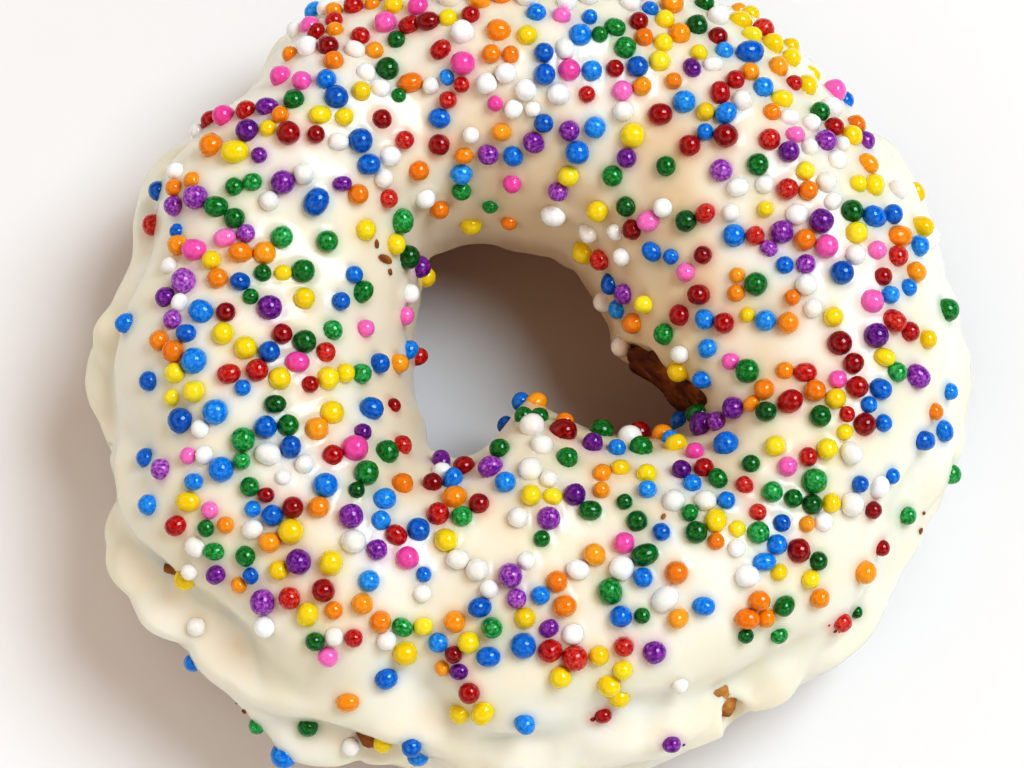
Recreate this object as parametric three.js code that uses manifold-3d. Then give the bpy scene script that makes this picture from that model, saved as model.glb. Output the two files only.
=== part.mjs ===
// A sprinkle frosted doughnut: a lumpy ring of fried dough lying on its flattened base, coated from
// above with white icing that runs down past the ring's widest line to a thick wavy hem, and strewn
// with little sugar balls that sank partly into the icing before it set.
// Millimetres, +Z up. The base rests on z = 0 and the origin is under the middle of the ring.

import * as THREE from "three";
import { mergeVertices } from "three/addons/utils/BufferGeometryUtils.js";
import Module from "manifold-3d";

// ---- Driving dimensions ----

// The ring as coated. Radii are at even turns, from +X round towards +Y.
const RING_SHIFT = new THREE.Vector3(-0.4, -1.8, 0);
const RIM_RADII = [
  41.1, 40.5, 41.0, 40.8, 40.0, 40.9, 40.7, 40.6, 40.2, 40.0, 40.2, 40.3,
  40.6, 38.5, 39.5, 40.7, 38.6, 40.3, 40.5, 39.4, 42.0, 41.1, 39.6, 40.7,
  39.5, 37.4, 37.6, 37.4, 37.2, 37.6, 37.0, 38.1, 39.3, 38.6, 39.5, 40.7,
];
const HOLE_CENTRE = new THREE.Vector3(0.5, 3.0, 0);
const HOLE_RADII = [
  8.0, 7.9, 7.9, 8.2, 9.0, 9.6, 10.1, 11.4, 13.0, 13.8, 12.2, 11.6,
  11.5, 12.0, 12.4, 13.8, 12.1, 6.3, 6.0, 7.0, 9.9, 13.6, 15.6, 10.0,
];
const WAIST_HEIGHT = 11.5; // the widest line of the ring
const CREST_HEIGHT = 27.5;
const SECTION_POWER = 2.15; // 2 would make each half of the section an ellipse; more is fuller
const BASE_FLATTENING = 1.2; // how much of the round underside is pressed flat

// Swellings and hollows of the upper side. across is -1 at the hole's wall and 1 at the rim.
const LUMPS = [
  { turn: 88, across: 0.0, rise: 1.3, turnReach: 13, acrossReach: 0.6 },
  { turn: 113, across: 0.1, rise: -1.6, turnReach: 8, acrossReach: 0.7 },
  { turn: 135, across: 0.3, rise: 1.0, turnReach: 12, acrossReach: 0.5 },
  { turn: 158, across: -0.2, rise: -1.0, turnReach: 10, acrossReach: 0.35 },
  { turn: 188, across: 0.1, rise: 0.9, turnReach: 14, acrossReach: 0.5 },
  { turn: 224, across: -0.3, rise: 1.2, turnReach: 15, acrossReach: 0.5 },
  { turn: 246, across: 0.5, rise: -1.4, turnReach: 8, acrossReach: 0.5 },
  { turn: 268, across: -0.6, rise: 1.5, turnReach: 14, acrossReach: 0.4 },
  { turn: 300, across: 0.2, rise: 0.9, turnReach: 14, acrossReach: 0.5 },
  { turn: 326, across: 0.4, rise: -1.3, turnReach: 10, acrossReach: 0.5 },
  { turn: 355, across: -0.3, rise: -0.9, turnReach: 11, acrossReach: 0.4 },
  { turn: 10, across: 0.5, rise: 1.1, turnReach: 13, acrossReach: 0.4 },
  { turn: 36, across: 0.2, rise: 1.2, turnReach: 14, acrossReach: 0.5 },
];

// The icing.
const ICING_THICKNESS = 1.5;
const ICING_GAP = 0.3; // between the icing and the dough under it
const RIM_HEM_SWELL = 0.8; // the thick edge where the icing stopped running
const HOLE_HEM_SWELL = 0.4;
const HEM_SWELL_REACH = 14; // degrees of the section
const RIM_HEM_HEIGHT = 5.2; // above the table
const HOLE_HEM_HEIGHT = 8.5;
const HEM_WAVES = [
  { lobes: 3, height: 0.9, start: 40 },
  { lobes: 7, height: 0.8, start: 10 },
  { lobes: 12, height: 0.45, start: 75 },
];
const BARE_WALL = { turn: 336, rise: 4.5, turnReach: 16 }; // the icing missed the hole's wall here

// The sugar balls.
const BALL_COUNT = 650; // on the real icing
const SOLID_BALLS = 190; // the largest of them, which these solids carry
const BALL_RADIUS = { smallest: 0.7, spread: 0.56 };
const BALL_LIFT = { least: 0.12, spread: 0.33 }; // of its radius: how far its middle is above the icing
const BALL_CLEARANCE = 0.99; // of the two radii, between middles
const CHAIN_SHARE = 0.8; // of the balls, which stuck to one that lay there before
const CHAIN_REACH = { turn: 0.13, roll: 0.3, gap: 1.05 };
const BALL_SEED = 1217;

// Stretches of the rim where the icing ran on down after the balls fell, which left them nearly bare.
const BARE_SKIRTS = [
  { turn: 165, turnReach: 14, share: 0.4 },
  { turn: 200, turnReach: 50, share: 0.95 },
  { turn: 232, turnReach: 16, share: 0.25 },
  { turn: 285, turnReach: 36, share: 0.9 },
  { turn: 340, turnReach: 25, share: 0.35 },
  { turn: 0, turnReach: 24, share: 0.45 },
];
// Places higher up that few balls reached.
const BARE_PATCHES = [
  { turn: 157, across: -0.35, turnReach: 13, acrossReach: 0.35, share: 0.7 },
  { turn: 327, across: 0.62, turnReach: 11, acrossReach: 0.25, share: 0.4 },
  { turn: 262, across: 0.25, turnReach: 10, acrossReach: 0.3, share: 0.2 },
  { turn: 345, across: -0.8, turnReach: 30, acrossReach: 0.3, share: 0.5 },
  { turn: 130, across: -0.4, turnReach: 16, acrossReach: 0.3, share: 0.3 },
  { turn: 75, across: -0.1, turnReach: 14, acrossReach: 0.2, share: 0.35 },
];

const TURN_STEPS = 60;
const DOUGH_SECTION_STEPS = 14;
const COAT_SECTION_STEPS = 15;
const COAT_UPPER_SHARE = 12 / 15; // of the section's steps, for the face that shows
const COAT_CORE_DEPTH = 6; // how far inside the ring the coat closes before the dough is cut out

// ---- The ring's surface ----

const radians = THREE.MathUtils.degToRad;

// The radius at a turn, on a smooth closed curve through evenly spaced radii.
function radiusAt(turn, radii) {
  const count = radii.length;
  const place = ((turn / (2 * Math.PI)) * count + count) % count;
  const first = Math.floor(place);
  const part = place - first;
  const [a, b, c, d] = [-1, 0, 1, 2].map((step) => radii[(first + step + count) % count]);
  const bend = 2 * a - 5 * b + 4 * c - d + part * (3 * (b - c) + d - a);
  return b + 0.5 * part * (c - a + part * bend);
}

// A bell that is 1 at the middle and falls to nothing over its reach.
const bell = (distance, reach) => Math.exp(-((distance / reach) ** 2));

// The angle from one turn to another, the short way round, in degrees.
function turnBetween(turn, degrees) {
  const difference = THREE.MathUtils.radToDeg(turn) - degrees;
  return THREE.MathUtils.euclideanModulo(difference + 180, 360) - 180;
}

// How much of a patch a place on the ring lies in, from 0 to 1.
function within(patch, turn, across) {
  const round = bell(turnBetween(turn, patch.turn), patch.turnReach);
  return patch.across === undefined ? round : round * bell(across - patch.across, patch.acrossReach);
}

function crestHeight(turn, across) {
  return LUMPS.reduce((height, lump) => height + lump.rise * within(lump, turn, across), CREST_HEIGHT);
}

// The point of the ring at a turn round the hole and a roll round the section: 0 at the rim's widest
// line, a quarter turn at the crest, a half turn at the hole's wall. inset moves it into the ring.
function ringPoint(turn, roll, inset) {
  const outwards = new THREE.Vector3(Math.cos(turn), Math.sin(turn), 0);
  const rim = outwards.clone().multiplyScalar(radiusAt(turn, RIM_RADII) - inset);
  const wall = outwards.clone().multiplyScalar(radiusAt(turn, HOLE_RADII) + inset).add(HOLE_CENTRE);
  const cos = Math.cos(roll);
  const sin = Math.sin(roll);
  const reach = (Math.abs(cos) ** SECTION_POWER + Math.abs(sin) ** SECTION_POWER) ** (-1 / SECTION_POWER);
  const across = cos * reach;
  const up = sin * reach;
  const point = new THREE.Vector3().lerpVectors(wall, rim, (1 + across) / 2).add(RING_SHIFT);
  if (up >= 0) {
    point.z = WAIST_HEIGHT + up * (crestHeight(turn, across) - inset - WAIST_HEIGHT);
  } else {
    point.z = Math.max(0, WAIST_HEIGHT + up * (WAIST_HEIGHT + BASE_FLATTENING));
  }
  return point;
}

// The roll below the waist at which the section is at a height, on the rim's side.
function rollAtHeight(height) {
  const up = (height - WAIST_HEIGHT) / (WAIST_HEIGHT + BASE_FLATTENING);
  const across = (1 - Math.abs(up) ** SECTION_POWER) ** (1 / SECTION_POWER);
  return Math.atan2(up, across);
}

// How much higher the hem is at a turn than along the rest.
function hemWave(turn) {
  const heights = HEM_WAVES.map((wave) => wave.height * Math.sin(wave.lobes * turn + radians(wave.start)));
  return heights.reduce((sum, height) => sum + height);
}

const rimHemRoll = (turn) => rollAtHeight(RIM_HEM_HEIGHT + hemWave(turn));

function holeHemRoll(turn) {
  const bare = BARE_WALL.rise * bell(turnBetween(turn, BARE_WALL.turn), BARE_WALL.turnReach);
  return Math.PI - rollAtHeight(HOLE_HEM_HEIGHT + 0.7 * hemWave(2 * turn) + bare);
}

// The face of the icing that shows, which swells into a bead along both hems.
function icingPoint(turn, roll) {
  const toRimHem = THREE.MathUtils.radToDeg(roll - rimHemRoll(turn));
  const toHoleHem = THREE.MathUtils.radToDeg(holeHemRoll(turn) - roll);
  const rimSwell = RIM_HEM_SWELL * bell(toRimHem, HEM_SWELL_REACH);
  const holeSwell = HOLE_HEM_SWELL * bell(toHoleHem, HEM_SWELL_REACH);
  return ringPoint(turn, roll, -rimSwell - holeSwell);
}

// ---- Solids ----

// A ring whose vertices place(turn, share) sets, with share going once round the section.
function ringGeometry(sectionSteps, place) {
  const ring = new THREE.TorusGeometry(2, 1, sectionSteps, TURN_STEPS);
  const position = ring.getAttribute("position");
  for (let row = 0; row <= sectionSteps; row++) {
    for (let column = 0; column <= TURN_STEPS; column++) {
      const turn = (2 * Math.PI * (column % TURN_STEPS)) / TURN_STEPS;
      const point = place(turn, (row % sectionSteps) / sectionSteps);
      position.setXYZ(row * (TURN_STEPS + 1) + column, point.x, point.y, point.z);
    }
  }
  ring.deleteAttribute("normal");
  ring.deleteAttribute("uv");
  return mergeVertices(ring, 1e-4);
}

// The dough's own surface, or one that much outside it.
const doughRing = (outside) =>
  ringGeometry(DOUGH_SECTION_STEPS, (turn, share) =>
    ringPoint(turn, 2 * Math.PI * share, ICING_THICKNESS + ICING_GAP - outside),
  );

// The coat as a thick body: its section goes over the top from hem to hem, and back inside the dough.
const coatRing = ringGeometry(COAT_SECTION_STEPS, (turn, share) => {
  const start = rimHemRoll(turn);
  const end = holeHemRoll(turn);
  if (share <= COAT_UPPER_SHARE) {
    return icingPoint(turn, THREE.MathUtils.lerp(start, end, share / COAT_UPPER_SHARE));
  }
  const step = 1 / COAT_SECTION_STEPS;
  const back = (share - COAT_UPPER_SHARE - step) / (1 - COAT_UPPER_SHARE - 2 * step);
  return ringPoint(turn, THREE.MathUtils.lerp(end, start, back), COAT_CORE_DEPTH);
});

// ---- Sugar balls ----

// A repeatable draw between 0 and 1.
let drawState = BALL_SEED;
function draw() {
  drawState = (Math.imul(drawState, 1664525) + 1013904223) >>> 0;
  return drawState / 2 ** 32;
}

// How thickly the balls lie at a place on the icing, from 0 to 1.
function ballDensity(turn, across) {
  const skirt = BARE_SKIRTS.reduce((sum, side) => Math.min(1, sum + side.share * within(side, turn)), 0);
  const rimFade = THREE.MathUtils.smoothstep(across, 0.66 - 0.34 * skirt, 0.98 - 0.3 * skirt);
  const wallFade = THREE.MathUtils.smoothstep(-across, 0.62, 1);
  const fallen = (1 - (0.8 + 0.18 * skirt) * rimFade) * (1 - 0.5 * wallFade);
  return BARE_PATCHES.reduce(
    (density, patch) => density * (1 - patch.share * within(patch, turn, across)),
    fallen,
  );
}

// Where the ball at a place on the icing has its middle: straight out from the icing's face.
function ballMiddle(turn, roll, lift) {
  const nudge = 0.01;
  const point = icingPoint(turn, roll);
  const along = icingPoint(turn + nudge, roll).sub(icingPoint(turn - nudge, roll));
  const over = icingPoint(turn, roll + nudge).sub(icingPoint(turn, roll - nudge));
  return point.add(along.cross(over).normalize().multiplyScalar(lift));
}

function placeBalls() {
  const balls = [];
  for (let tries = 0; balls.length < BALL_COUNT && tries < 400 * BALL_COUNT; tries++) {
    const radius = BALL_RADIUS.smallest + BALL_RADIUS.spread * 0.5 * (draw() + draw());
    const lift = radius * (BALL_LIFT.least + BALL_LIFT.spread * draw());
    const chained = balls.length > 60 && draw() < CHAIN_SHARE;
    const anchor = chained ? balls[Math.floor(draw() * balls.length)] : null;
    const turn = anchor ? anchor.turn + CHAIN_REACH.turn * (draw() - 0.5) : 2 * Math.PI * draw();
    const roll = anchor ? anchor.roll + CHAIN_REACH.roll * (draw() - 0.5) : Math.PI * (1.1 * draw() - 0.06);
    // They fall straight down, so the steep sides catch fewer, and the rim more than the hole.
    const across = Math.cos(roll);
    const crowding = (radiusAt(turn, RIM_RADII) * (0.62 + 0.38 * across)) / Math.max(...RIM_RADII);
    const caught = crowding * Math.abs(Math.sin(roll)) ** 1.1 * ballDensity(turn, across);
    if (draw() > caught) continue;
    const middle = ballMiddle(turn, roll, lift);
    const nearest = Math.min(
      ...balls.map((ball) => ball.middle.distanceTo(middle) / (ball.radius + radius)),
    );
    if (nearest < BALL_CLEARANCE || (anchor && nearest > CHAIN_REACH.gap)) continue;
    balls.push({ turn, roll, radius, middle });
  }
  return balls;
}

// ---- Joining ----

const wasm = await Module();
wasm.setup();

function solidFrom(geometry) {
  return new wasm.Manifold(
    new wasm.Mesh({
      numProp: 3,
      vertProperties: geometry.getAttribute("position").array,
      triVerts: new Uint32Array(geometry.index.array),
    }),
  );
}

function geometryFrom(solid) {
  const mesh = solid.getMesh();
  const geometry = new THREE.BufferGeometry();
  geometry.setAttribute("position", new THREE.BufferAttribute(mesh.vertProperties, 3));
  geometry.setIndex(new THREE.BufferAttribute(mesh.triVerts, 1));
  geometry.computeVertexNormals();
  return geometry;
}

function ballGeometry(ball) {
  const geometry = new THREE.IcosahedronGeometry(ball.radius, 0);
  geometry.rotateX(ball.turn * 5);
  geometry.rotateY(ball.roll * 7);
  geometry.translate(ball.middle.x, ball.middle.y, ball.middle.z);
  geometry.deleteAttribute("normal");
  geometry.deleteAttribute("uv");
  return mergeVertices(geometry, 1e-4);
}

function icingSolid() {
  const largest = placeBalls()
    .sort((one, other) => other.radius - one.radius)
    .slice(0, SOLID_BALLS);
  const strewn = largest.reduce(
    (coat, ball) => coat.add(solidFrom(ballGeometry(ball))),
    solidFrom(coatRing),
  );
  return strewn.subtract(solidFrom(doughRing(ICING_GAP)));
}

// ---- Scene graph ----

const crust = new THREE.MeshStandardMaterial({ color: 0xb06a2c, roughness: 0.8, metalness: 0 });
const icing = new THREE.MeshStandardMaterial({ color: 0xf7f1dd, roughness: 0.25, metalness: 0 });

const doughMesh = new THREE.Mesh(doughRing(0), crust);
doughMesh.name = "dough";

const icingMesh = new THREE.Mesh(geometryFrom(icingSolid()), icing);
icingMesh.name = "icing";

const doughnut = new THREE.Group();
doughnut.add(doughMesh, icingMesh);

export default doughnut;
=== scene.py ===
"""A sprinkle frosted doughnut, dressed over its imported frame. Shapes are worked out in millimetres and
go into the meshes in metres. The base is on z = 0 and the origin is under the middle of the ring."""

import math
from collections import namedtuple

import bmesh
import bpy
from mathutils import Color, Matrix, Vector, kdtree, noise


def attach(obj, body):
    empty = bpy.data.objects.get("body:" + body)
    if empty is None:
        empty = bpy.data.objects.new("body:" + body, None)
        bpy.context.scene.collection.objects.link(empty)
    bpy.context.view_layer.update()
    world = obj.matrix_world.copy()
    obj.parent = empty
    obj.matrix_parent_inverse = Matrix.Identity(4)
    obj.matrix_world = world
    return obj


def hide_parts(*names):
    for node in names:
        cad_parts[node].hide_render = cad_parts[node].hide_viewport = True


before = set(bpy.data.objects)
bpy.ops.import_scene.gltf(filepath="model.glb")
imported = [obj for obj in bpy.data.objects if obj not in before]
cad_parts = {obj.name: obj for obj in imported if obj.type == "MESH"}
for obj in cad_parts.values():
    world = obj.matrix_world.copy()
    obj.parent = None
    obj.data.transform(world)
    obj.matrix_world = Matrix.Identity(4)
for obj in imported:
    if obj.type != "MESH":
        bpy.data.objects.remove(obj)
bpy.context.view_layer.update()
scene = bpy.context.scene

# ---- The ring of fried dough ----
# A yeast ring that proved on a tray, which flattened its base, and then puffed up unevenly in hot oil.
# Its crust is brown, blistered and finely pitted. It shows under the icing's hem and in the hole.

MM = 0.001
RING_SHIFT = (-0.4, -1.8)  # which centres the ring on the origin
RIM_RADII = (  # of the widest line, every 10 degrees
    41.1, 40.5, 41.0, 40.8, 40.0, 40.9, 40.7, 40.6, 40.2, 40.0, 40.2, 40.3,
    40.6, 38.5, 39.5, 40.7, 38.6, 40.3, 40.5, 39.4, 42.0, 41.1, 39.6, 40.7,
    39.5, 37.4, 37.6, 37.4, 37.2, 37.6, 37.0, 38.1, 39.3, 38.6, 39.5, 40.7,
)
HOLE_CENTRE = (0.5, 3.0)
HOLE_RADII = (  # of the hole's wall, every 15 degrees
    8.0, 7.9, 7.9, 8.2, 9.0, 9.6, 10.1, 11.4, 13.0, 13.8, 12.2, 11.6,
    11.5, 12.0, 12.4, 13.8, 12.1, 6.3, 6.0, 7.0, 9.9, 13.6, 15.6, 10.0,
)
WAIST_HEIGHT = 11.5  # of the widest line
CREST_HEIGHT = 27.5
SECTION_POWER = 2.15  # of a superellipse, which is round at 2 and squarer above it
BASE_FLATTENING = 1.2  # how much of the section the flat base cuts off
# Swellings and hollows of the upper side: turn, across, rise, and how far each reaches both ways.
LUMPS = (
    (88, 0.0, 1.3, 13, 0.6), (113, 0.1, -1.6, 8, 0.7), (135, 0.3, 1.0, 12, 0.5),
    (158, -0.2, -1.0, 10, 0.35), (188, 0.1, 0.9, 14, 0.5), (224, -0.3, 1.2, 15, 0.5),
    (246, 0.5, -1.4, 8, 0.5), (268, -0.6, 1.5, 14, 0.4), (300, 0.2, 0.9, 14, 0.5),
    (326, 0.4, -1.3, 10, 0.5), (355, -0.3, -0.9, 11, 0.4), (10, 0.5, 1.1, 13, 0.4),
    (36, 0.2, 1.2, 14, 0.5),
)
ICING_DEPTH = 1.8  # from the icing's face to the dough under it
SPIN_RADIUS = 3  # of the plain ring that each piece of the doughnut is shaped from


def radius_at(turn, radii):
    """The radius at a turn, on a smooth closed curve through evenly spaced radii."""
    count = len(radii)
    place = (turn / math.tau * count) % count
    first = math.floor(place)
    part = place - first
    a, b, c, d = (radii[(first + step) % count] for step in (-1, 0, 1, 2))
    bend = 2 * a - 5 * b + 4 * c - d + part * (3 * (b - c) + d - a)
    return b + 0.5 * part * (c - a + part * bend)


def bell(distance, reach):
    """1 at the middle, falling to nothing over its reach."""
    return math.exp(-((distance / reach) ** 2))


def smooth(value, low, high):
    """0 up to low, 1 from high on, and a soft step between them."""
    part = min(1.0, max(0.0, (value - low) / (high - low)))
    return part * part * (3 - 2 * part)


def turn_between(turn, degrees):
    """The angle from degrees to a turn, the short way round, in degrees."""
    return (math.degrees(turn) - degrees + 180) % 360 - 180


def crest_height(turn, across):
    """The height of the ring's top at a turn, and across the section from the wall, -1, to the rim, 1."""
    height = CREST_HEIGHT
    for lump_turn, lump_across, rise, turn_reach, across_reach in LUMPS:
        near = bell(turn_between(turn, lump_turn), turn_reach)
        height += rise * near * bell(across - lump_across, across_reach)
    return height


def ring_point(turn, roll, inset):
    """The ring at a turn round the hole and a roll round the section: 0 at the rim's widest line,
    a quarter turn at the crest, a half turn at the hole's wall. inset moves it into the ring."""
    out_x, out_y = math.cos(turn), math.sin(turn)
    rim = radius_at(turn, RIM_RADII) - inset
    wall = radius_at(turn, HOLE_RADII) + inset
    cos, sin = math.cos(roll), math.sin(roll)
    reach = (abs(cos) ** SECTION_POWER + abs(sin) ** SECTION_POWER) ** (-1 / SECTION_POWER)
    across, up = cos * reach, sin * reach
    wall_x, wall_y = HOLE_CENTRE[0] + wall * out_x, HOLE_CENTRE[1] + wall * out_y
    share = (1 + across) / 2
    x = wall_x + (rim * out_x - wall_x) * share + RING_SHIFT[0]
    y = wall_y + (rim * out_y - wall_y) * share + RING_SHIFT[1]
    if up >= 0:
        z = WAIST_HEIGHT + up * (crest_height(turn, across) - inset - WAIST_HEIGHT)
    else:
        z = max(0.0, WAIST_HEIGHT + up * (WAIST_HEIGHT + BASE_FLATTENING))
    return Vector((x, y, z))


def spun_ring(rows, turns, place):
    """A closed ring: a circle of rows points is spun round Z, and place(turn, share) moves each point,
    with share going once round the section."""
    ring = bmesh.new()
    start = Matrix.Translation((SPIN_RADIUS, 0, 0)) @ Matrix.Rotation(math.pi / 2, 4, "X")
    bmesh.ops.create_circle(ring, segments=rows, radius=1, matrix=start)
    bmesh.ops.spin(
        ring, geom=ring.verts[:] + ring.edges[:], cent=(0, 0, 0), axis=(0, 0, 1),
        angle=math.tau, steps=turns, use_merge=True,
    )
    for vert in ring.verts:
        x, y, z = vert.co
        turn = round(math.atan2(y, x) / math.tau * turns) % turns * math.tau / turns
        share = round(math.atan2(z, math.hypot(x, y) - SPIN_RADIUS) / math.tau * rows) % rows / rows
        vert.co = place(turn, share) * MM
    bmesh.ops.recalc_face_normals(ring, faces=ring.faces)
    return ring


def piece_from(shape, name, material):
    """A finished piece of the doughnut: its object stays at the origin, with its place in its mesh."""
    mesh = bpy.data.meshes.new(name)
    shape.to_mesh(mesh)
    shape.free()
    mesh.shade_smooth()
    mesh.materials.append(material)
    piece = bpy.data.objects.new(name, mesh)
    scene.collection.objects.link(piece)
    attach(piece, "root")
    return piece


def new_material(name):
    """A material with its nodes and links."""
    material = bpy.data.materials.new(name)
    material.use_nodes = True
    return material, material.node_tree.nodes, material.node_tree.links


def node(nodes, kind, **settings):
    """A shader node with its settings, and its inputs by name or number."""
    made = nodes.new(kind)
    inputs = settings.pop("inputs", {})
    for key, value in settings.items():
        setattr(made, key, value)
    for key, value in inputs.items():
        made.inputs[key].default_value = value
    return made


def colour_ramp(nodes, stops):
    """A ramp through stops, each a place from 0 to 1 and a colour."""
    ramp = nodes.new("ShaderNodeValToRGB")
    elements = ramp.color_ramp.elements
    while len(elements) < len(stops):
        elements.new(0.5)
    for element, (place, colour) in zip(elements, stops):
        element.position = place
        element.color = (*colour, 1)
    return ramp


def screen(red, green, blue):
    """A colour given as it looks on a screen, 0 to 255, as the linear values a shader takes."""
    return tuple(Color((red / 255, green / 255, blue / 255)).from_srgb_to_scene_linear())


# Knobs of crust that pushed out through the icing: turn, height, bulge, and reach both ways.
CRUST_KNOBS = (
    (297, 15.0, 1.9, 2.4, 2.4), (271, 13.8, 1.9, 3.4, 2.3), (244.5, 16.0, 1.9, 3.0, 2.4),
    (238, 11.5, 2.0, 5.0, 1.7), (216.5, 13.0, 1.8, 2.4, 1.8), (203, 12.0, 1.4, 2.4, 1.8),
    (188, 14.0, 1.4, 1.4, 2.6), (357, 14.0, 1.6, 1.6, 2.8),
)
WALL_KNOBS = (  # the same on the hole's wall, on a broad swelling
    (346, 13.5, 1.5, 11.0, 4.6), (355, 12.0, 0.9, 4.5, 1.3), (350, 15.2, 1.1, 4.5, 1.3),
    (345, 12.0, 1.1, 4.5, 1.3), (341, 15.5, 1.2, 4.5, 1.5), (336, 12.8, 1.2, 4.5, 1.5),
    (347, 18.4, 0.8, 4.5, 1.3), (337, 18.8, 1.1, 4.0, 1.6), (335, 20.6, 0.9, 4.0, 2.2),
    (333, 15.0, 0.9, 5.5, 4.2),
)
BLISTER_SIZE, BLISTER_RISE, KNOB_BLISTER_RISE = 1.6, 0.30, 0.25
PIT_SIZE, PIT_DEPTH = 1.0, 0.16
PORE_SIZE, PORE_DEPTH = 0.45, 0.08
BASE_EDGE = 0.01  # a point lower than this is on the base, which stays flat
CRUST_ROWS, CRUST_TURNS = 120, 600
OUTER_PAINTED_LIGHT = 0.35  # painted light: how golden the whole outer side is, more next to a knob that broke open, while the crust in the hole stays dark as painted shade
golden_and_lit_shares = []  # of each point of the crust, in the order the ring is made


def knobs_at(turn, height, knobs):
    """How far the knobs stand out at a place."""
    return sum(
        bulge * bell(turn_between(turn, knob_turn), turn_reach) * bell(height - knob_height, rise_reach)
        for knob_turn, knob_height, bulge, turn_reach, rise_reach in knobs
    )


def crust_point(turn, share):
    """A point of the crust. How much it shows of the golden inside where a knob broke open, with painted
    light on the whole outer side and painted shade in the hole, is noted in the crust's list of shares.
    """
    roll = math.tau * share
    skin = ring_point(turn, roll, ICING_DEPTH)
    knob = knobs_at(turn, skin.z, WALL_KNOBS if math.cos(roll) < 0 else CRUST_KNOBS)
    blister = (BLISTER_RISE + KNOB_BLISTER_RISE * knob) * noise.noise(skin / BLISTER_SIZE)
    pits = PIT_DEPTH * noise.noise(skin / PIT_SIZE) + PORE_DEPTH * noise.noise(skin / PORE_SIZE)
    point = ring_point(turn, roll, ICING_DEPTH - (knob + blister + pits))
    if skin.z < BASE_EDGE:
        point.z = 0.0
    outer = math.cos(roll) > 0
    # painted light: the outer side is made more golden, and the hole's crust is left dark as painted shade
    golden_and_lit_shares.append(OUTER_PAINTED_LIGHT + min(1.0 - OUTER_PAINTED_LIGHT, knob) if outer else 0.0)
    return point


def crust_material():
    """Brown, patchy and porous, and golden where the crust broke open; the whole outer side is painted
    lighter and more golden, so that the crust in the hole stays darker as painted shade.
    """
    material, nodes, links = new_material("fried crust")
    shader = nodes["Principled BSDF"]
    place = node(nodes, "ShaderNodeTexCoord")
    patches = node(nodes, "ShaderNodeTexNoise", inputs={"Scale": 420, "Detail": 6, "Roughness": 0.6})
    browns = colour_ramp(nodes, (
        (0.30, screen(62, 26, 8)), (0.45, screen(104, 50, 16)), (0.58, screen(140, 76, 28)),
        (0.78, screen(176, 112, 54)),
    ))
    golds = colour_ramp(nodes, (
        (0.36, screen(120, 66, 20)), (0.50, screen(172, 108, 42)), (0.64, screen(214, 156, 86)),
    ))
    golden_and_lit = node(nodes, "ShaderNodeAttribute", attribute_name="golden_and_lit")
    blend = node(nodes, "ShaderNodeMix", data_type="RGBA")
    pores = node(nodes, "ShaderNodeTexVoronoi", inputs={"Scale": 1500})
    dents = node(nodes, "ShaderNodeBump", inputs={"Strength": 0.6, "Distance": 0.0003})
    links.new(place.outputs["Object"], patches.inputs["Vector"])
    links.new(place.outputs["Object"], pores.inputs["Vector"])
    links.new(patches.outputs["Fac"], browns.inputs["Fac"])
    links.new(patches.outputs["Fac"], golds.inputs["Fac"])
    links.new(browns.outputs["Color"], blend.inputs["A"])
    links.new(golds.outputs["Color"], blend.inputs["B"])
    links.new(golden_and_lit.outputs["Fac"], blend.inputs["Factor"])
    links.new(blend.outputs["Result"], shader.inputs["Base Color"])
    links.new(pores.outputs["Distance"], dents.inputs["Height"])
    links.new(dents.outputs["Normal"], shader.inputs["Normal"])
    shader.inputs["Roughness"].default_value = 0.62
    shader.inputs["Specular IOR Level"].default_value = 0.4
    return material


crust = crust_material()
dough = piece_from(spun_ring(CRUST_ROWS, CRUST_TURNS, crust_point), "dough_ring", crust)
# the crust's gold where knobs broke open, with the painted light on its outer side
golden_and_lit_crust = dough.data.attributes.new("golden_and_lit", "FLOAT", "POINT")
for spot, golden_and_lit in zip(golden_and_lit_crust.data, golden_and_lit_shares):
    spot.value = golden_and_lit
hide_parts("dough")

# ---- The coat of icing ----
# White icing poured over the warm ring. It ran down past the widest line, set with a thick rounded
# hem that hangs clear of the tray, and sagged into a few soft folds where it ran furthest.

RIM_HEM_HEIGHT = 5.2
HOLE_HEM_HEIGHT = 8.5
HEM_WAVES = ((3, 0.9, 40), (7, 0.8, 10), (12, 0.45, 75))  # lobes, height and start
HOLE_WAVE_SHARE = 0.7  # of the rim hem's waves, and there are twice as many in the hole
BARE_WALL = (336, 4.5, 16)  # where the hem in the hole stays higher: turn, rise and reach
RIM_HEM_SWELL = 0.8
HOLE_HEM_SWELL = 0.4
HEM_SWELL_REACH = 14  # in degrees round the section


def roll_at_height(height):
    """The roll at which the section is at a height below the widest line, on the rim's side."""
    up = (height - WAIST_HEIGHT) / (WAIST_HEIGHT + BASE_FLATTENING)
    across = (1 - abs(up) ** SECTION_POWER) ** (1 / SECTION_POWER)
    return math.atan2(up, across)


def hem_wave(turn):
    """How far the hem hangs above or below its middle height."""
    return sum(height * math.sin(lobes * turn + math.radians(start)) for lobes, height, start in HEM_WAVES)


def rim_hem_roll(turn):
    return roll_at_height(RIM_HEM_HEIGHT + hem_wave(turn))


def hole_hem_roll(turn):
    bare_turn, rise, reach = BARE_WALL
    bare = rise * bell(turn_between(turn, bare_turn), reach)
    return math.pi - roll_at_height(HOLE_HEM_HEIGHT + HOLE_WAVE_SHARE * hem_wave(2 * turn) + bare)


def smooth_coat(turn, roll):
    """The icing's face before its relief."""
    to_rim_hem = math.degrees(roll - rim_hem_roll(turn))
    to_hole_hem = math.degrees(hole_hem_roll(turn) - roll)
    rim_swell = RIM_HEM_SWELL * bell(to_rim_hem, HEM_SWELL_REACH)
    hole_swell = HOLE_HEM_SWELL * bell(to_hole_hem, HEM_SWELL_REACH)
    return ring_point(turn, roll, -rim_swell - hole_swell)


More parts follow.
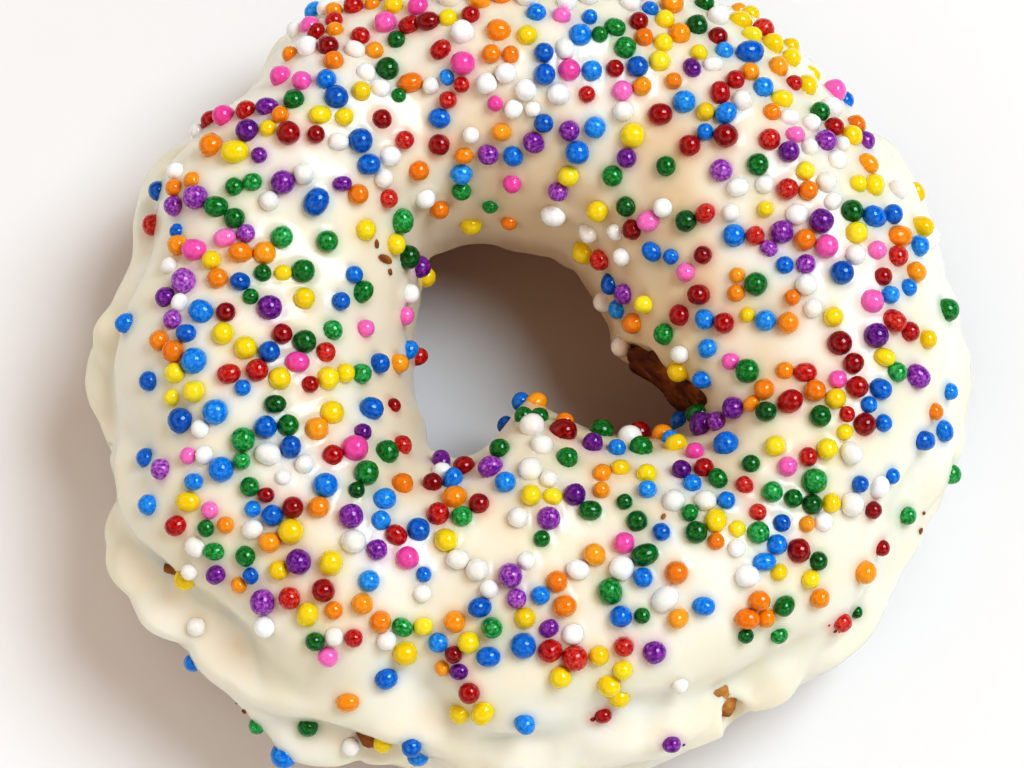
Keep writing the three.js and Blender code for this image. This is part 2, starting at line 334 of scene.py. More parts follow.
# The sugar balls fell on the icing while it was wet, so their places are settled before its face.
BALL_SEED, COLOUR_SEED = 1217, 411
BALL_COUNT = 650
BALL_SMALLEST, BALL_SPREAD = 0.7, 0.56
LIFT_LEAST, LIFT_SPREAD = 0.12, 0.33  # of its radius: how far a ball's middle is above the icing
BALL_CLEARANCE = 0.99  # of the two radii, between middles
LOOSE_COUNT = 60  # of the balls, which lay there before any others could stick to them
CHAIN_SHARE = 0.8  # of the others, which stuck to one that lay there
CHAIN_TURN, CHAIN_ROLL, CHAIN_GAP = 0.13, 0.3, 1.05  # how far from it they could land
LANDING_SPAN, LANDING_START = 1.1, 0.06  # of a half turn: where round the section balls landed
MIDDLE_SHARE = 0.62  # of the rim's radius, out to the ring's middle line
STEEP_POWER = 1.1  # steep places caught fewer balls
# Across the section, where the balls thin out towards the rim and end, how much sooner they do so above
# a bare skirt, and how thin they get.
FADE_START, FADE_END = 0.66, 0.98
SKIRT_START_SHIFT, SKIRT_END_SHIFT = 0.34, 0.3
RIM_THINNING, SKIRT_THINNING = 0.8, 0.18
WALL_FADE_START, WALL_THINNING = 0.62, 0.5  # the same on the hole's wall
# Stretches of the rim where the icing ran on down after the balls fell: turn, reach and share.
BARE_SKIRTS = (
    (165, 14, 0.4), (200, 50, 0.95), (232, 16, 0.25), (285, 36, 0.9), (340, 25, 0.35), (0, 24, 0.45),
)
BARE_PATCHES = (  # higher up: turn, across, how far each reaches both ways, and share
    (157, -0.35, 13, 0.35, 0.7), (327, 0.62, 11, 0.25, 0.4), (262, 0.25, 10, 0.3, 0.2),
    (345, -0.8, 30, 0.3, 0.5), (130, -0.4, 16, 0.3, 0.3), (75, -0.1, 14, 0.2, 0.35),
)


def draws(seed):
    """Repeatable numbers between 0 and 1."""
    state = seed
    while True:
        state = (state * 1664525 + 1013904223) % 2**32
        yield state / 2**32


def ball_density(turn, across):
    """How thickly the balls lie at a place, from 0 to 1."""
    skirt = min(1.0, sum(share * bell(turn_between(turn, at), reach) for at, reach, share in BARE_SKIRTS))
    rim_fade = smooth(across, FADE_START - SKIRT_START_SHIFT * skirt, FADE_END - SKIRT_END_SHIFT * skirt)
    wall_fade = smooth(-across, WALL_FADE_START, 1.0)
    density = (1 - (RIM_THINNING + SKIRT_THINNING * skirt) * rim_fade) * (1 - WALL_THINNING * wall_fade)
    for at, patch_across, turn_reach, across_reach, share in BARE_PATCHES:
        near = bell(turn_between(turn, at), turn_reach) * bell(across - patch_across, across_reach)
        density *= 1 - share * near
    return density


def coat_normal(turn, roll):
    """The way straight out of the icing at a place."""
    nudge = 0.01
    along = smooth_coat(turn + nudge, roll) - smooth_coat(turn - nudge, roll)
    over = smooth_coat(turn, roll + nudge) - smooth_coat(turn, roll - nudge)
    return along.cross(over).normalized()


def fallen_balls():
    """Each ball's turn, roll, radius and middle. Most of them stuck to one that lay there before."""
    draw = draws(BALL_SEED)
    balls = []
    while len(balls) < BALL_COUNT:
        radius = BALL_SMALLEST + BALL_SPREAD * 0.5 * (next(draw) + next(draw))
        lift = radius * (LIFT_LEAST + LIFT_SPREAD * next(draw))
        chained = len(balls) > LOOSE_COUNT and next(draw) < CHAIN_SHARE
        if chained:
            anchor = balls[int(next(draw) * len(balls))]
            turn = anchor[0] + CHAIN_TURN * (next(draw) - 0.5)
            roll = anchor[1] + CHAIN_ROLL * (next(draw) - 0.5)
        else:
            turn = math.tau * next(draw)
            roll = math.pi * (LANDING_SPAN * next(draw) - LANDING_START)
        across = math.cos(roll)
        out = radius_at(turn, RIM_RADII) * (MIDDLE_SHARE + (1 - MIDDLE_SHARE) * across) / max(RIM_RADII)
        if next(draw) > out * abs(math.sin(roll)) ** STEEP_POWER * ball_density(turn, across):
            continue
        middle = smooth_coat(turn, roll) + coat_normal(turn, roll) * lift
        nearest = min(((ball[3] - middle).length / (ball[2] + radius) for ball in balls), default=math.inf)
        if nearest < BALL_CLEARANCE or (chained and nearest > CHAIN_GAP):
            continue
        balls.append((turn, roll, radius, middle))
    return balls


# Soft folds of the skirt: middle turn, reach, height above the tray, slope per degree, and rise.
FOLDS = (
    (222, 15, 17.5, 0.10, 0.9), (237, 11, 14.0, -0.12, 0.8), (205, 9, 15.5, 0.22, 0.7),
    (252, 8, 18.5, -0.16, 0.7), (268, 12, 15.5, 0.06, 0.8), (284, 11, 18.0, -0.08, 0.7),
    (300, 11, 15.5, 0.07, 0.7), (322, 12, 15.5, 0.08, 0.5), (341, 9, 17.5, -0.1, 0.5),
    (176, 9, 15.5, -0.18, 0.6), (192, 6, 18.5, 0.22, 0.5), (150, 12, 15.0, 0.08, 0.5),
    (75, 25, 11.0, 0.02, 0.5), (130, 18, 11.0, -0.05, 0.5), (30, 22, 12.5, 0.03, 0.5),
)
FOLD_END = 2.6  # of its reach: where a fold has died out
FOLD_RISE = 2.1  # for a rise of 1
RIDGE_DOWN, RIDGE_UP = 2.4, 1.5  # how far a fold's ridge reaches
VALLEY_DEPTH, VALLEY_ABOVE, VALLEY_REACH = 0.8, 3.8, 1.7  # of the hollow above the ridge
WANDER_SIZE, WANDER_HEIGHT = 4.0, 0.7  # of the line that a fold follows
# Where the skirt's edge spreads past the ring above it: middle turn, reach, and how far it spreads.
FLARES = ((229, 9, 0.6), (213, 4, 0.8), (199, 7, 0.5), (262, 9, 0.7), (286, 8, 0.6), (308, 7, 0.5))
FLARE_ABOVE, FLARE_REACH = 1.2, 2.6  # from the hem
NECK_SHARE, NECK_ABOVE = 0.4, 6.5  # of the slight hollow above a flare
# The slow and the quick wobble of the whole coat, and the swells of its skirt with creases between them.
SLOW_SIZE, SLOW_RISE = 7.5, 0.30
QUICK_SIZE, QUICK_RISE, QUICK_SHIFT = 3.1, 0.12, Vector((7, 3, 1))
SWELL_SIZE, SWELL_RISE, SWELL_SINK, SWELL_SHIFT = 6.5, 1.8, 0.6, Vector((2, 9, 4))
SWELL_FLATTENING = 1.5
CREASE_ROUNDING = 0.06
SKIRT_TOP, SKIRT_END = 15.0, 24.0  # the heights between which the skirt's swells die out


def fold_relief(turn, point):
    """How far the folds stand out, each a round ridge with a valley above it."""
    relief = 0.0
    for at, reach, height, slope, rise in FOLDS:
        away = turn_between(turn, at)
        if abs(away) > FOLD_END * reach:
            continue
        drop = point.z - (height + slope * away + WANDER_HEIGHT * noise.noise(point / WANDER_SIZE))
        ridge = bell(drop, RIDGE_DOWN if drop < 0 else RIDGE_UP)
        ridge -= VALLEY_DEPTH * bell(drop - VALLEY_ABOVE, VALLEY_REACH)
        relief += FOLD_RISE * rise * bell(away, reach) * ridge
    return relief


def flare_relief(turn, point):
    """How far the skirt's edge spreads."""
    relief = 0.0
    above_hem = point.z - RIM_HEM_HEIGHT - hem_wave(turn)
    for at, reach, spread in FLARES:
        here = spread * bell(turn_between(turn, at), reach)
        relief += here * bell(above_hem - FLARE_ABOVE, FLARE_REACH)
        relief -= NECK_SHARE * here * bell(above_hem - NECK_ABOVE, FLARE_REACH)
    return relief


def coat_relief(turn, roll, point):
    """How far the set icing stands out from its smooth face."""
    relief = SLOW_RISE * noise.noise(point / SLOW_SIZE)
    relief += QUICK_RISE * noise.noise(point / QUICK_SIZE + QUICK_SHIFT)
    if math.cos(roll) > 0:
        skirt = 1 - smooth(point.z, SKIRT_TOP, SKIRT_END)
        stretched = Vector((point.x, point.y, SWELL_FLATTENING * point.z))
        swell = noise.noise(stretched / SWELL_SIZE + SWELL_SHIFT)
        relief += skirt * (SWELL_RISE * math.hypot(swell, CREASE_ROUNDING) - SWELL_SINK)
        relief += fold_relief(turn, point) + flare_relief(turn, point)
    return relief


# Balls that stand out singly, at the skirt's edge and round the hole: turn, roll, radius and kind. The
# smallest are chips off broken ones.
STRAYS = (
    (242, 0.29, 0.85, "white"), (246, 0.38, 0.92, "yellow"), (216, 0.46, 0.9, "white"),
    (230, 0.22, 0.8, "green"), (236, 0.34, 0.95, "green"), (250, 0.47, 0.95, "blue"),
    (251, 0.23, 1.0, "blue"), (173, 0.73, 0.95, "blue"), (211, 0.8, 0.8, "white"),
    (214, 0.91, 0.9, "purple"), (347, 0.52, 0.95, "blue"), (344, 0.7, 1.0, "blue"),
    (334, 0.53, 0.85, "green"), (316, 0.55, 0.92, "red"), (319, 0.42, 0.6, "green"),
    (278, 0.63, 0.75, "red"), (266, 0.71, 1.0, "blue"), (287, 0.41, 0.8, "purple"),
    (240, 0.73, 0.9, "orange"), (256, 0.69, 0.95, "yellow"), (358, 0.83, 0.9, "yellow"),
    (200, 0.82, 0.95, "blue"), (205, 0.94, 0.95, "red"),
    (314.6, 0.5, 0.24, "red"), (315.2, 0.44, 0.2, "red"), (314.2, 0.6, 0.18, "red"),
    (315.9, 0.4, 0.15, "red"), (288.5, 0.36, 0.2, "purple"), (276.4, 0.62, 0.25, "red"),
    (258, 3.05, 0.95, "blue"), (268, 2.95, 1.0, "orange"), (270, 2.51, 0.9, "green"),
    (261, 2.5, 0.9, "green"), (250, 3.1, 0.9, "blue"), (190, 2.65, 0.95, "orange"),
    (182, 2.85, 0.9, "blue"), (144, 2.9, 1.1, "purple"), (142, 3.2, 1.05, "yellow"),
    (158, 2.76, 1.0, "white"), (168, 2.75, 0.9, "pink"), (28, 2.95, 1.0, "white"),
    (16, 2.8, 0.95, "blue"), (356, 2.95, 1.0, "white"), (341, 2.5, 1.05, "yellow"),
    (326, 2.45, 1.26, "purple"), (327, 2.85, 1.05, "blue"), (316, 2.37, 1.0, "yellow"),
    (354, 2.43, 1.0, "green"), (346, 2.38, 0.9, "white"), (21, 2.67, 1.0, "purple"),
)
STRAY_LIFT = 0.3  # of its radius: how far its middle is above the icing
STRAY_ROOM = 0.85  # of the two radii: a fallen ball whose middle is closer to a stray is left out

ball_places = []  # each ball's radius and middle
ball_kinds = []
for degrees, roll, radius, kind in STRAYS:
    turn = math.radians(degrees)
    face = smooth_coat(turn, roll)
    lift = STRAY_LIFT * radius + coat_relief(turn, roll, face)
    ball_places.append((radius, face + coat_normal(turn, roll) * lift))
    ball_kinds.append(kind)
for turn, roll, radius, middle in fallen_balls():
    lifted = middle + coat_normal(turn, roll) * coat_relief(turn, roll, smooth_coat(turn, roll))
    if all(
        (stray - lifted).length >= STRAY_ROOM * (stray_radius + radius)
        for stray_radius, stray in ball_places[:len(STRAYS)]
    ):
        ball_places.append((radius, lifted))

ball_tree = kdtree.KDTree(len(ball_places))
for index, (_, middle) in enumerate(ball_places):
    ball_tree.insert(middle, index)
ball_tree.balance()

# The colours of the balls: how many of each, how spotted it dried, its dark, deep, bright and pale sugar,
# and the colour it lends the icing next to it, partly dye that bleeds in and partly painted colour bounce.
Kind = namedtuple("Kind", "count spots dark deep bright pale dye")
KINDS = {
    "red": Kind(
        88, 0.6, (116, 0, 8), (160, 4, 16), (192, 24, 22), (232, 96, 74), (238, 140, 130),
    ),
    "orange": Kind(
        78, 0.3, (230, 122, 14), (239, 142, 18), (244, 162, 26), (249, 186, 56), (252, 200, 130),
    ),
    "yellow": Kind(
        85, 0.22, (238, 196, 16), (243, 212, 20), (246, 224, 30), (249, 236, 80), (250, 226, 120),
    ),
    "green": Kind(
        85, 0.6, (0, 66, 14), (4, 106, 36), (14, 140, 52), (84, 200, 124), (150, 205, 150),
    ),
    "blue": Kind(
        81, 0.5, (0, 78, 158), (2, 110, 204), (14, 138, 228), (80, 186, 242), (150, 205, 238),
    ),
    "purple": Kind(
        58, 0.75, (78, 6, 104), (116, 28, 144), (148, 58, 172), (206, 132, 216), (205, 160, 218),
    ),
    "pink": Kind(
        39, 0.3, (230, 70, 154), (239, 94, 178), (245, 122, 196), (249, 160, 212), (250, 190, 225),
    ),
    "white": Kind(
        95, 0.3, (240, 236, 226), (246, 243, 236), (251, 250, 247), (255, 255, 254), (250, 246, 236),
    ),
}
colour_draw = draws(COLOUR_SEED)
total = sum(kind.count for kind in KINDS.values())
while len(ball_kinds) < len(ball_places):
    ticket = next(colour_draw) * total
    for name, kind in KINDS.items():
        ticket -= kind.count
        if ticket <= 0:
            break
    ball_kinds.append(name)

COAT_TURNS = 640
COAT_ROWS = 144  # round the section, of which these show:
COAT_FACE_ROWS = 130
HEM_ROWS = 10  # of them at each hem, where the face turns under
HEM_ROLL = 0.16  # and how far round the section they reach
HEM_ROUNDING = 1.5  # along the section, from the edge to the full thickness
HEM_SWELL_WIDTH = 3.3  # along the section, of the thick edge
SECTION_RADIUS = 13.5  # about, which makes a roll a length along the section
COAT_SEAT = 0.15  # the coat's underside sits this far into the dough's face
BITE_START, BITE_END = 0.5, 1.5  # the knobs' bulges between which the icing gives way to them
# How far the icing climbs a ball, how soon the climb fades away from it, and how far inside the ball's
# surface it would be highest.
CLIMB, CLIMB_REACH, CLIMB_INSIDE = 0.19, 0.38, 0.05
# How much of a ball's colour the icing next to it takes up, partly dye and partly painted colour bounce,
# how far that reaches, and what is too little.
DYE_AND_BOUNCE_SHARE, DYE_AND_BOUNCE_REACH, DYE_AND_BOUNCE_LEAST = 0.34, 0.5, 0.02
BALL_NEIGHBOURHOOD = 2.6  # how far from a ball's middle it can change the icing
# each ball's colour as it tints the icing next to it: its dye, and painted colour bounce from it
DYE_AND_BOUNCE_COLOURS = {name: Vector(screen(*kind.dye)) for name, kind in KINDS.items()}
# Where the icing ran thin down the hole's wall, so that the dough tints it, and where painted shade
# darkens the hole's wall: turn, reach and share.
THIN_SHADED_WALLS = ((352, 42, 1.0), (40, 30, 0.6), (92, 34, 0.75), (180, 60, 0.35), (270, 60, 0.5))
# the tan of thin icing over the dough, which also stands as painted shade on the hole's wall
THIN_AND_SHADE_TINT = Vector((0.86, 0.73, 0.59))
THIN_SHADE_END = 0.75  # across the section from the crest, where it is thinnest and the painted shade is deepest
RAGGED_SIZE, RAGGED_SPREAD = 5.0, 0.5  # of the thin part's edge
WHITE = Vector((1, 1, 1))
tints = []  # of each point of the coat, in the order the ring is made


def face_roll(row, start, end):
    """The roll of a row of the icing's face: close rows along both hems, even ones between."""
    if row < HEM_ROWS:
        return start + HEM_ROLL * row / HEM_ROWS
    if row > COAT_FACE_ROWS - HEM_ROWS:
        return end - HEM_ROLL * (COAT_FACE_ROWS - row) / HEM_ROWS
    part = (row - HEM_ROWS) / (COAT_FACE_ROWS - 2 * HEM_ROWS)
    return start + HEM_ROLL + (end - start - 2 * HEM_ROLL) * part


def knob_bite(turn, roll, height):
    """How far a knob of crust holds the icing back at a place, from 0 to 1."""
    knobs = WALL_KNOBS if math.cos(roll) < 0 else CRUST_KNOBS
    return smooth(knobs_at(turn, height, knobs), BITE_START, BITE_END)


def thinness_and_shade(turn, roll, point):
    """How thin the icing ran at a place, and so how deep the painted shade on the hole's wall is, from 0
    to 1.
    """
    here = min(1.0, sum(share * bell(turn_between(turn, at), reach) for at, reach, share in THIN_SHADED_WALLS))
    across = -math.cos(roll) + RAGGED_SPREAD * noise.noise(point / RAGGED_SIZE)
    return here * smooth(across, 0.0, THIN_SHADE_END)


def coat_point(turn, share):
    """A point of the icing. Its colour, next to plain icing, is noted in tints: painted shade on the
    hole's wall, and dye with painted colour bounce next to the balls.
    """
    row = round(share * COAT_ROWS)
    start, end = rim_hem_roll(turn), hole_hem_roll(turn)
    underside = ICING_DEPTH + COAT_SEAT
    if row > COAT_FACE_ROWS:
        back = (row - COAT_FACE_ROWS) / (COAT_ROWS - COAT_FACE_ROWS)
        tints.append((*WHITE, 1))
        return ring_point(turn, end + (start - end) * back, underside)
    roll = face_roll(row, start, end)
    face = smooth_coat(turn, roll)
    edge = min(roll - start, end - roll) * SECTION_RADIUS
    rounding = min(1.0, edge / HEM_ROUNDING)
    rounding = math.sqrt(max(0.0, 1 - (1 - rounding) ** 2))
    swell = RIM_HEM_SWELL if roll - start < end - roll else HOLE_HEM_SWELL
    thickness = ICING_DEPTH + swell * bell(edge, HEM_SWELL_WIDTH) + coat_relief(turn, roll, face)
    thickness *= 1 - knob_bite(turn, roll, face.z)
    inset = underside - (thickness + COAT_SEAT) * rounding
    point = ring_point(turn, roll, inset)
    # painted shade: the hole's wall is darkened to tan, partly thin icing over the dough and partly shade
    tint = WHITE.lerp(THIN_AND_SHADE_TINT, thinness_and_shade(turn, roll, point))
    climb = 0.0
    dye_and_bounce_sum, dye_and_bounce_weight = Vector((0, 0, 0)), 0.0
    for _, index, distance in ball_tree.find_range(point, BALL_NEIGHBOURHOOD):
        gap = distance - ball_places[index][0]
        climb = max(climb, CLIMB * bell(gap + CLIMB_INSIDE, CLIMB_REACH))
        # the ball's colour put into the icing next to it: its dye, and painted colour bounce from it
        weight = bell(max(gap, 0.0), DYE_AND_BOUNCE_REACH)
        dye_and_bounce_sum += DYE_AND_BOUNCE_COLOURS[ball_kinds[index]] * weight
        dye_and_bounce_weight += weight
    if climb:
        point = ring_point(turn, roll, inset - climb)
    if dye_and_bounce_weight > DYE_AND_BOUNCE_LEAST:
        tint *= WHITE.lerp(dye_and_bounce_sum / dye_and_bounce_weight, DYE_AND_BOUNCE_SHARE * min(1.0, dye_and_bounce_weight))
    tints.append((*tint, 1))
    return point


def icing_material():
    """Cream-white and faintly clouded, tinted point by point with painted shade on the hole's wall and
    with dye and painted colour bounce next to the balls, and milky, so that light goes into it.
    """
    material, nodes, links = new_material("set icing")
    shader = nodes["Principled BSDF"]
    place = node(nodes, "ShaderNodeTexCoord")
    clouds = node(nodes, "ShaderNodeTexNoise", inputs={"Scale": 90, "Detail": 3, "Roughness": 0.5})
    creams = colour_ramp(nodes, ((0.35, screen(247, 237, 215)), (0.65, screen(250, 244, 232))))
    tint = node(nodes, "ShaderNodeAttribute", attribute_name="tint")
    blend = node(nodes, "ShaderNodeMix", data_type="RGBA", blend_type="MULTIPLY", inputs={"Factor": 1.0})
    skin = node(nodes, "ShaderNodeTexNoise", inputs={"Scale": 620, "Detail": 2, "Roughness": 0.45})
    wobble = node(nodes, "ShaderNodeBump", inputs={"Strength": 0.12, "Distance": 0.0002})
    for texture in (clouds, skin):
        links.new(place.outputs["Object"], texture.inputs["Vector"])
    links.new(clouds.outputs["Fac"], creams.inputs["Fac"])
    links.new(creams.outputs["Color"], blend.inputs["A"])
    links.new(tint.outputs["Color"], blend.inputs["B"])
    links.new(blend.outputs["Result"], shader.inputs["Base Color"])
    links.new(skin.outputs["Fac"], wobble.inputs["Height"])
    links.new(wobble.outputs["Normal"], shader.inputs["Normal"])
    shader.inputs["Roughness"].default_value = 0.3
    shader.inputs["IOR"].default_value = 1.45
    shader.inputs["Subsurface Weight"].default_value = 0.6
    shader.inputs["Subsurface Radius"].default_value = (1.0, 0.75, 0.45)
    shader.inputs["Subsurface Scale"].default_value = 0.0015
    shader.inputs["Coat Weight"].default_value = 0.2
    shader.inputs["Coat Roughness"].default_value = 0.16
    return material


coat = piece_from(spun_ring(COAT_ROWS, COAT_TURNS, coat_point), "icing_coat", icing_material())
coat_tints = coat.data.color_attributes.new("tint", "FLOAT_COLOR", "POINT")
for spot, tint in zip(coat_tints.data, tints):
    spot.color = tint
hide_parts("icing")

# ---- Sugar balls ----
# Round sugar sprinkles, panned in a drum with coloured sugar syrup, so they are slightly uneven, and
# some came out oval or drawn to a tip. The dark colours dried speckled. Each colour is one piece.

BALL_UNEVENNESS, UNEVEN_WAVES = 0.07, 1.5
BALL_FULLNESS = 1.192  # the block's corners stand out, as subdivision draws them in
OVAL_SHARE, OVAL_LEAST, OVAL_MOST = 0.3, 0.06, 0.18  # of the balls, and how much longer they are
TEAR_SHARE, TEAR_TIP, TEAR_POWER = 0.3, 0.12, 3  # of the long ones, and how far and sharp their tip is
OVAL_THINNING = 0.4  # how much narrower they are, for each bit that they are longer
BATCH_SPREAD = 0.24  # how much paler or deeper one ball is than another of its colour
MILKY_KINDS = ("orange", "yellow", "pink", "white")  # which light goes into
BATCH_SEED, LETTER_STEP = 97, 31

bead = bmesh.new()
bmesh.ops.create_cube(bead, size=1)
bmesh.ops.subdivide_edges(bead, edges=bead.edges[:], cuts=1, use_grid_fill=True)
bead_mesh = bpy.data.meshes.new("bead")
bead.to_mesh(bead_mesh)
bead.free()


def new_bead(shape):
    """Adds one more bead, a small block of four squares a side, and gives its points."""
    shape.from_mesh(bead_mesh)
    shape.verts.ensure_lookup_table()
    return shape.verts[-len(bead_mesh.vertices):]


def round_off(piece):
    """Rounds a piece's beads by subdivision."""
    rounding = piece.modifiers.new("rounding", "SUBSURF")
    rounding.levels = rounding.render_levels = 1


def ball_shape(name):
    """All the balls of a colour. Each has a number from 0 to 1 for its own shade."""
    balls = bmesh.new()
    batch = balls.verts.layers.float.new("batch")
    draw = draws(BATCH_SEED + len(name) * LETTER_STEP + ord(name[0]))  # its own for each colour
    for (radius, middle), ball_kind in zip(ball_places, ball_kinds):
        if ball_kind != name:
            continue
        turned = Matrix.Rotation(math.tau * next(draw), 3, "X")
        turned = turned @ Matrix.Rotation(math.tau * next(draw), 3, "Y")
        shade = next(draw)
        longer = OVAL_LEAST + (OVAL_MOST - OVAL_LEAST) * next(draw) if next(draw) < OVAL_SHARE else 0.0
        tip = TEAR_TIP if longer and next(draw) < TEAR_SHARE else 0.0
        narrower = OVAL_THINNING * longer
        oval = Vector((1 + longer, 1 - narrower, 1 - narrower))
        for vert in new_bead(balls):
            way = vert.co.normalized()
            uneven = 1 + BALL_UNEVENNESS * noise.noise(way * UNEVEN_WAVES + middle)
            uneven += tip * max(0.0, way.x) ** TEAR_POWER
            vert.co = (middle + turned @ (way * oval) * radius * BALL_FULLNESS * uneven) * MM
            vert[batch] = shade
    return balls


def ball_material(name):
    """Glossy sugar in a ball's own shade of its colour, speckled with finer grains of it."""
    kind = KINDS[name]
    material, nodes, links = new_material(f"{name} sugar")
    shader = nodes["Principled BSDF"]
    place = node(nodes, "ShaderNodeTexCoord")
    batch = node(nodes, "ShaderNodeAttribute", attribute_name="batch")
    grains = node(nodes, "ShaderNodeTexNoise", inputs={"Scale": 3200, "Detail": 2, "Roughness": 0.6})
    even = 0.5 * (1 - kind.spots - BATCH_SPREAD)
    shade = node(nodes, "ShaderNodeMath", operation="MULTIPLY_ADD", inputs={1: BATCH_SPREAD, 2: even})
    tone = node(nodes, "ShaderNodeMath", operation="MULTIPLY_ADD", inputs={1: kind.spots})
    sugar = colour_ramp(nodes, (
        (0.32, screen(*kind.dark)), (0.45, screen(*kind.deep)), (0.56, screen(*kind.bright)),
        (0.74, screen(*kind.pale)),
    ))
    rough = node(nodes, "ShaderNodeBump", inputs={"Strength": 0.12, "Distance": 0.0001})
    links.new(place.outputs["Object"], grains.inputs["Vector"])
    links.new(batch.outputs["Fac"], shade.inputs[0])
    links.new(grains.outputs["Fac"], tone.inputs[0])
    links.new(shade.outputs["Value"], tone.inputs[2])
    links.new(tone.outputs["Value"], sugar.inputs["Fac"])
    links.new(sugar.outputs["Color"], shader.inputs["Base Color"])
    links.new(grains.outputs["Fac"], rough.inputs["Height"])
    links.new(rough.outputs["Normal"], shader.inputs["Normal"])
    shader.inputs["Roughness"].default_value = 0.34
    shader.inputs["Specular IOR Level"].default_value = 0.1
    shader.inputs["Coat Weight"].default_value = 1.0
    shader.inputs["Coat Roughness"].default_value = 0.05
    if name in MILKY_KINDS:
        shader.inputs["Subsurface Weight"].default_value = 0.3
        shader.inputs["Subsurface Radius"].default_value = (1.0, 0.6, 0.4)
        shader.inputs["Subsurface Scale"].default_value = 0.0005
    return material


for name in KINDS:
    round_off(piece_from(ball_shape(name), f"balls_{name}", ball_material(name)))

# ---- Crumbs ----
# A few thin flakes of fried crust that broke off the ring and set fast in the icing. Each is a bead
# pressed flat and torn uneven, and all of them are one piece.

CRUMBS = (  # turn, roll, length, breadth and thickness
    (152, 2.44, 2.2, 1.0, 0.4), (149, 2.34, 1.1, 0.6, 0.3), (155, 2.5, 0.9, 0.6, 0.3),
    (300, 1.73, 0.7, 0.5, 0.3), (334, 0.32, 1.0, 0.7, 0.4), (336, 0.4, 0.6, 0.4, 0.3),
    (228, 0.28, 0.9, 0.5, 0.3), (226.5, 0.24, 0.5, 0.3, 0.25), (60, 0.9, 0.6, 0.4, 0.25),
)
CRUMB_SEED = 53
CRUMB_PALENESS = 0.75  # how golden they are, from the crust's brown to its broken inside
CRUMB_LIFT = 0.1
TORN_DEPTH, TORN_WAVES = 0.6, 2.5

crumb_shape = bmesh.new()
crumb_draw = draws(CRUMB_SEED)
for degrees, roll, *sizes in CRUMBS:
    turn = math.radians(degrees)
    face = smooth_coat(turn, roll)
    up = coat_normal(turn, roll)
    flat = up.to_track_quat("Z", "Y").to_matrix() @ Matrix.Rotation(math.tau * next(crumb_draw), 3, "Z")
    middle = face + up * (coat_relief(turn, roll, face) + CRUMB_LIFT)
    for vert in new_bead(crumb_shape):
        way = vert.co.normalized()
        torn = 1 + TORN_DEPTH * noise.noise(way * TORN_WAVES + middle)
        half = Vector([0.5 * way[axis] * sizes[axis] * torn for axis in range(3)])
        vert.co = (middle + flat @ half) * MM
crumbs = piece_from(crumb_shape, "crumbs", crust)
broken_crumbs = crumbs.data.attributes.new("golden_and_lit", "FLOAT", "POINT")
for spot in broken_crumbs.data:
    spot.value = CRUMB_PALENESS
round_off(crumbs)

# ---- Table, light and camera ----
# A plain white table in a pale room. One large soft window lights it from the upper right, and a faint
# reflector stands at the lower right. The camera looks down steeply from the front.

TABLE_SIZE = 3.0  # in metres, as all lengths are from here on
table_shape = bmesh.new()
bmesh.ops.create_grid(table_shape, x_segments=1, y_segments=1, size=TABLE_SIZE / 2)
table_mesh = bpy.data.meshes.new("table")
table_shape.to_mesh(table_mesh)
table_shape.free()
table_material, table_nodes, _ = new_material("white table")
table_shader = table_nodes["Principled BSDF"]
table_shader.inputs["Base Color"].default_value = (0.86, 0.845, 0.83, 1)
table_shader.inputs["Roughness"].default_value = 0.6
table_mesh.materials.append(table_material)
table = bpy.data.objects.new("table", table_mesh)
scene.collection.objects.link(table)

PICTURE_WIDTH = 1024  # in pixels
PIXEL = 0.0943 * MM  # at the ring's widest line
PICTURE_SHIFT = (-21, -21)  # in pixels, from the ring's middle to the picture's
ELEVATION, AZIMUTH = math.radians(77), math.radians(-3)
DISTANCE = 0.35
SENSOR_WIDTH = 36  # in millimetres, as the lens is
camera_data = bpy.data.cameras.new("camera")
camera_data.sensor_width = SENSOR_WIDTH
camera_data.lens = SENSOR_WIDTH * DISTANCE / (PIXEL * PICTURE_WIDTH)
camera = bpy.data.objects.new("camera", camera_data)
scene.collection.objects.link(camera)
scene.camera = camera
towards = Vector((
    math.sin(AZIMUTH) * math.cos(ELEVATION), -math.cos(AZIMUTH) * math.cos(ELEVATION), math.sin(ELEVATION),
))
aim = towards.to_track_quat("Z", "Y")
side = aim @ Vector((*PICTURE_SHIFT, 0)) * PIXEL
camera.rotation_euler = aim.to_euler()
camera.location = Vector((0, 0, WAIST_HEIGHT * MM)) + side + towards * DISTANCE


def soft_light(name, towards, distance, size, power, colour):
    """A round, evenly lit panel that faces the doughnut from the way of towards."""
    light_data = bpy.data.lights.new(name, "AREA")
    light_data.shape = "DISK"
    light_data.size = size
    light_data.energy = power
    light_data.color = colour
    light = bpy.data.objects.new(name, light_data)
    scene.collection.objects.link(light)
    direction = Vector(towards).normalized()
    light.location = direction * distance
    light.rotation_euler = direction.to_track_quat("Z", "Y").to_euler()


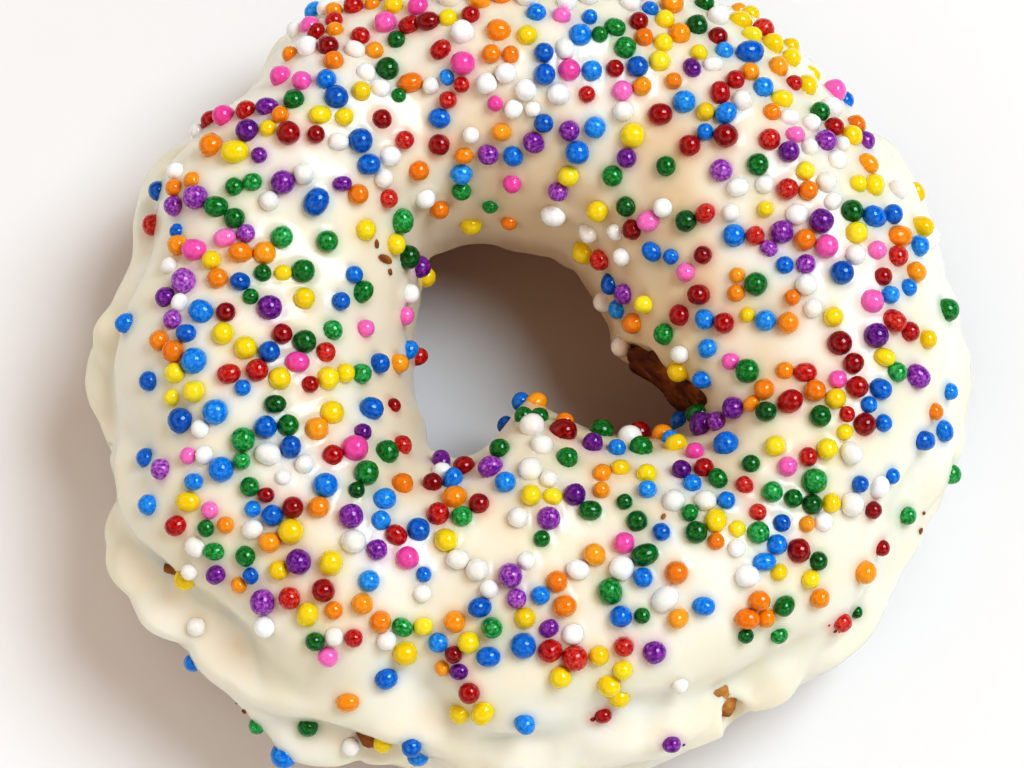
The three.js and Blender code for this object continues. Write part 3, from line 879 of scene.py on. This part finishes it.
soft_light(
    "window", towards=(0.481, 0.19, 0.857), distance=2.0, size=1.1, power=24.0, colour=(0.76, 0.90, 1.0),
)
soft_light(
    "reflector", towards=(0.62, -0.66, 0.42), distance=1.6, size=1.2, power=2.6, colour=(0.92, 0.97, 1.0),
)

# The room: dim near the floor, pale and cool higher up, warm below the ceiling, which is dark. It is
# brighter on the side away from the window.
BRIGHT_SIDE = (-0.97, -0.24, 0.0)
ROOM_BRIGHTNESS, SIDE_CONTRAST = 0.97, 0.68
world = bpy.data.worlds.new("room")
world.use_nodes = True
room_nodes, room_links = world.node_tree.nodes, world.node_tree.links
way = node(room_nodes, "ShaderNodeTexCoord")
parts = node(room_nodes, "ShaderNodeSeparateXYZ")
height = node(room_nodes, "ShaderNodeMapRange", inputs={"From Min": -1.0, "From Max": 1.0})
walls = colour_ramp(room_nodes, (
    (0.50, (0.11, 0.09, 0.05)), (0.66, (0.19, 0.22, 0.21)), (0.73, (0.44, 0.67, 0.73)),
    (0.80, (0.49, 0.67, 0.70)), (0.86, (0.76, 0.40, 0.26)), (0.91, (0.66, 0.28, 0.16)),
    (0.95, (0.34, 0.20, 0.10)), (0.985, (0.0, 0.0, 0.0)),
))
facing = node(room_nodes, "ShaderNodeVectorMath", operation="DOT_PRODUCT", inputs={1: BRIGHT_SIDE})
brightness = node(
    room_nodes, "ShaderNodeMath", operation="MULTIPLY_ADD", inputs={1: SIDE_CONTRAST, 2: ROOM_BRIGHTNESS},
)
background = room_nodes["Background"]
room_links.new(way.outputs["Generated"], parts.inputs["Vector"])
room_links.new(way.outputs["Generated"], facing.inputs[0])
room_links.new(parts.outputs["Z"], height.inputs["Value"])
room_links.new(height.outputs["Result"], walls.inputs["Fac"])
room_links.new(walls.outputs["Color"], background.inputs["Color"])
room_links.new(facing.outputs["Value"], brightness.inputs[0])
room_links.new(brightness.outputs["Value"], background.inputs["Strength"])
scene.world = world
scene.view_settings.view_transform = "Standard"
scene.view_settings.look = "High Contrast"
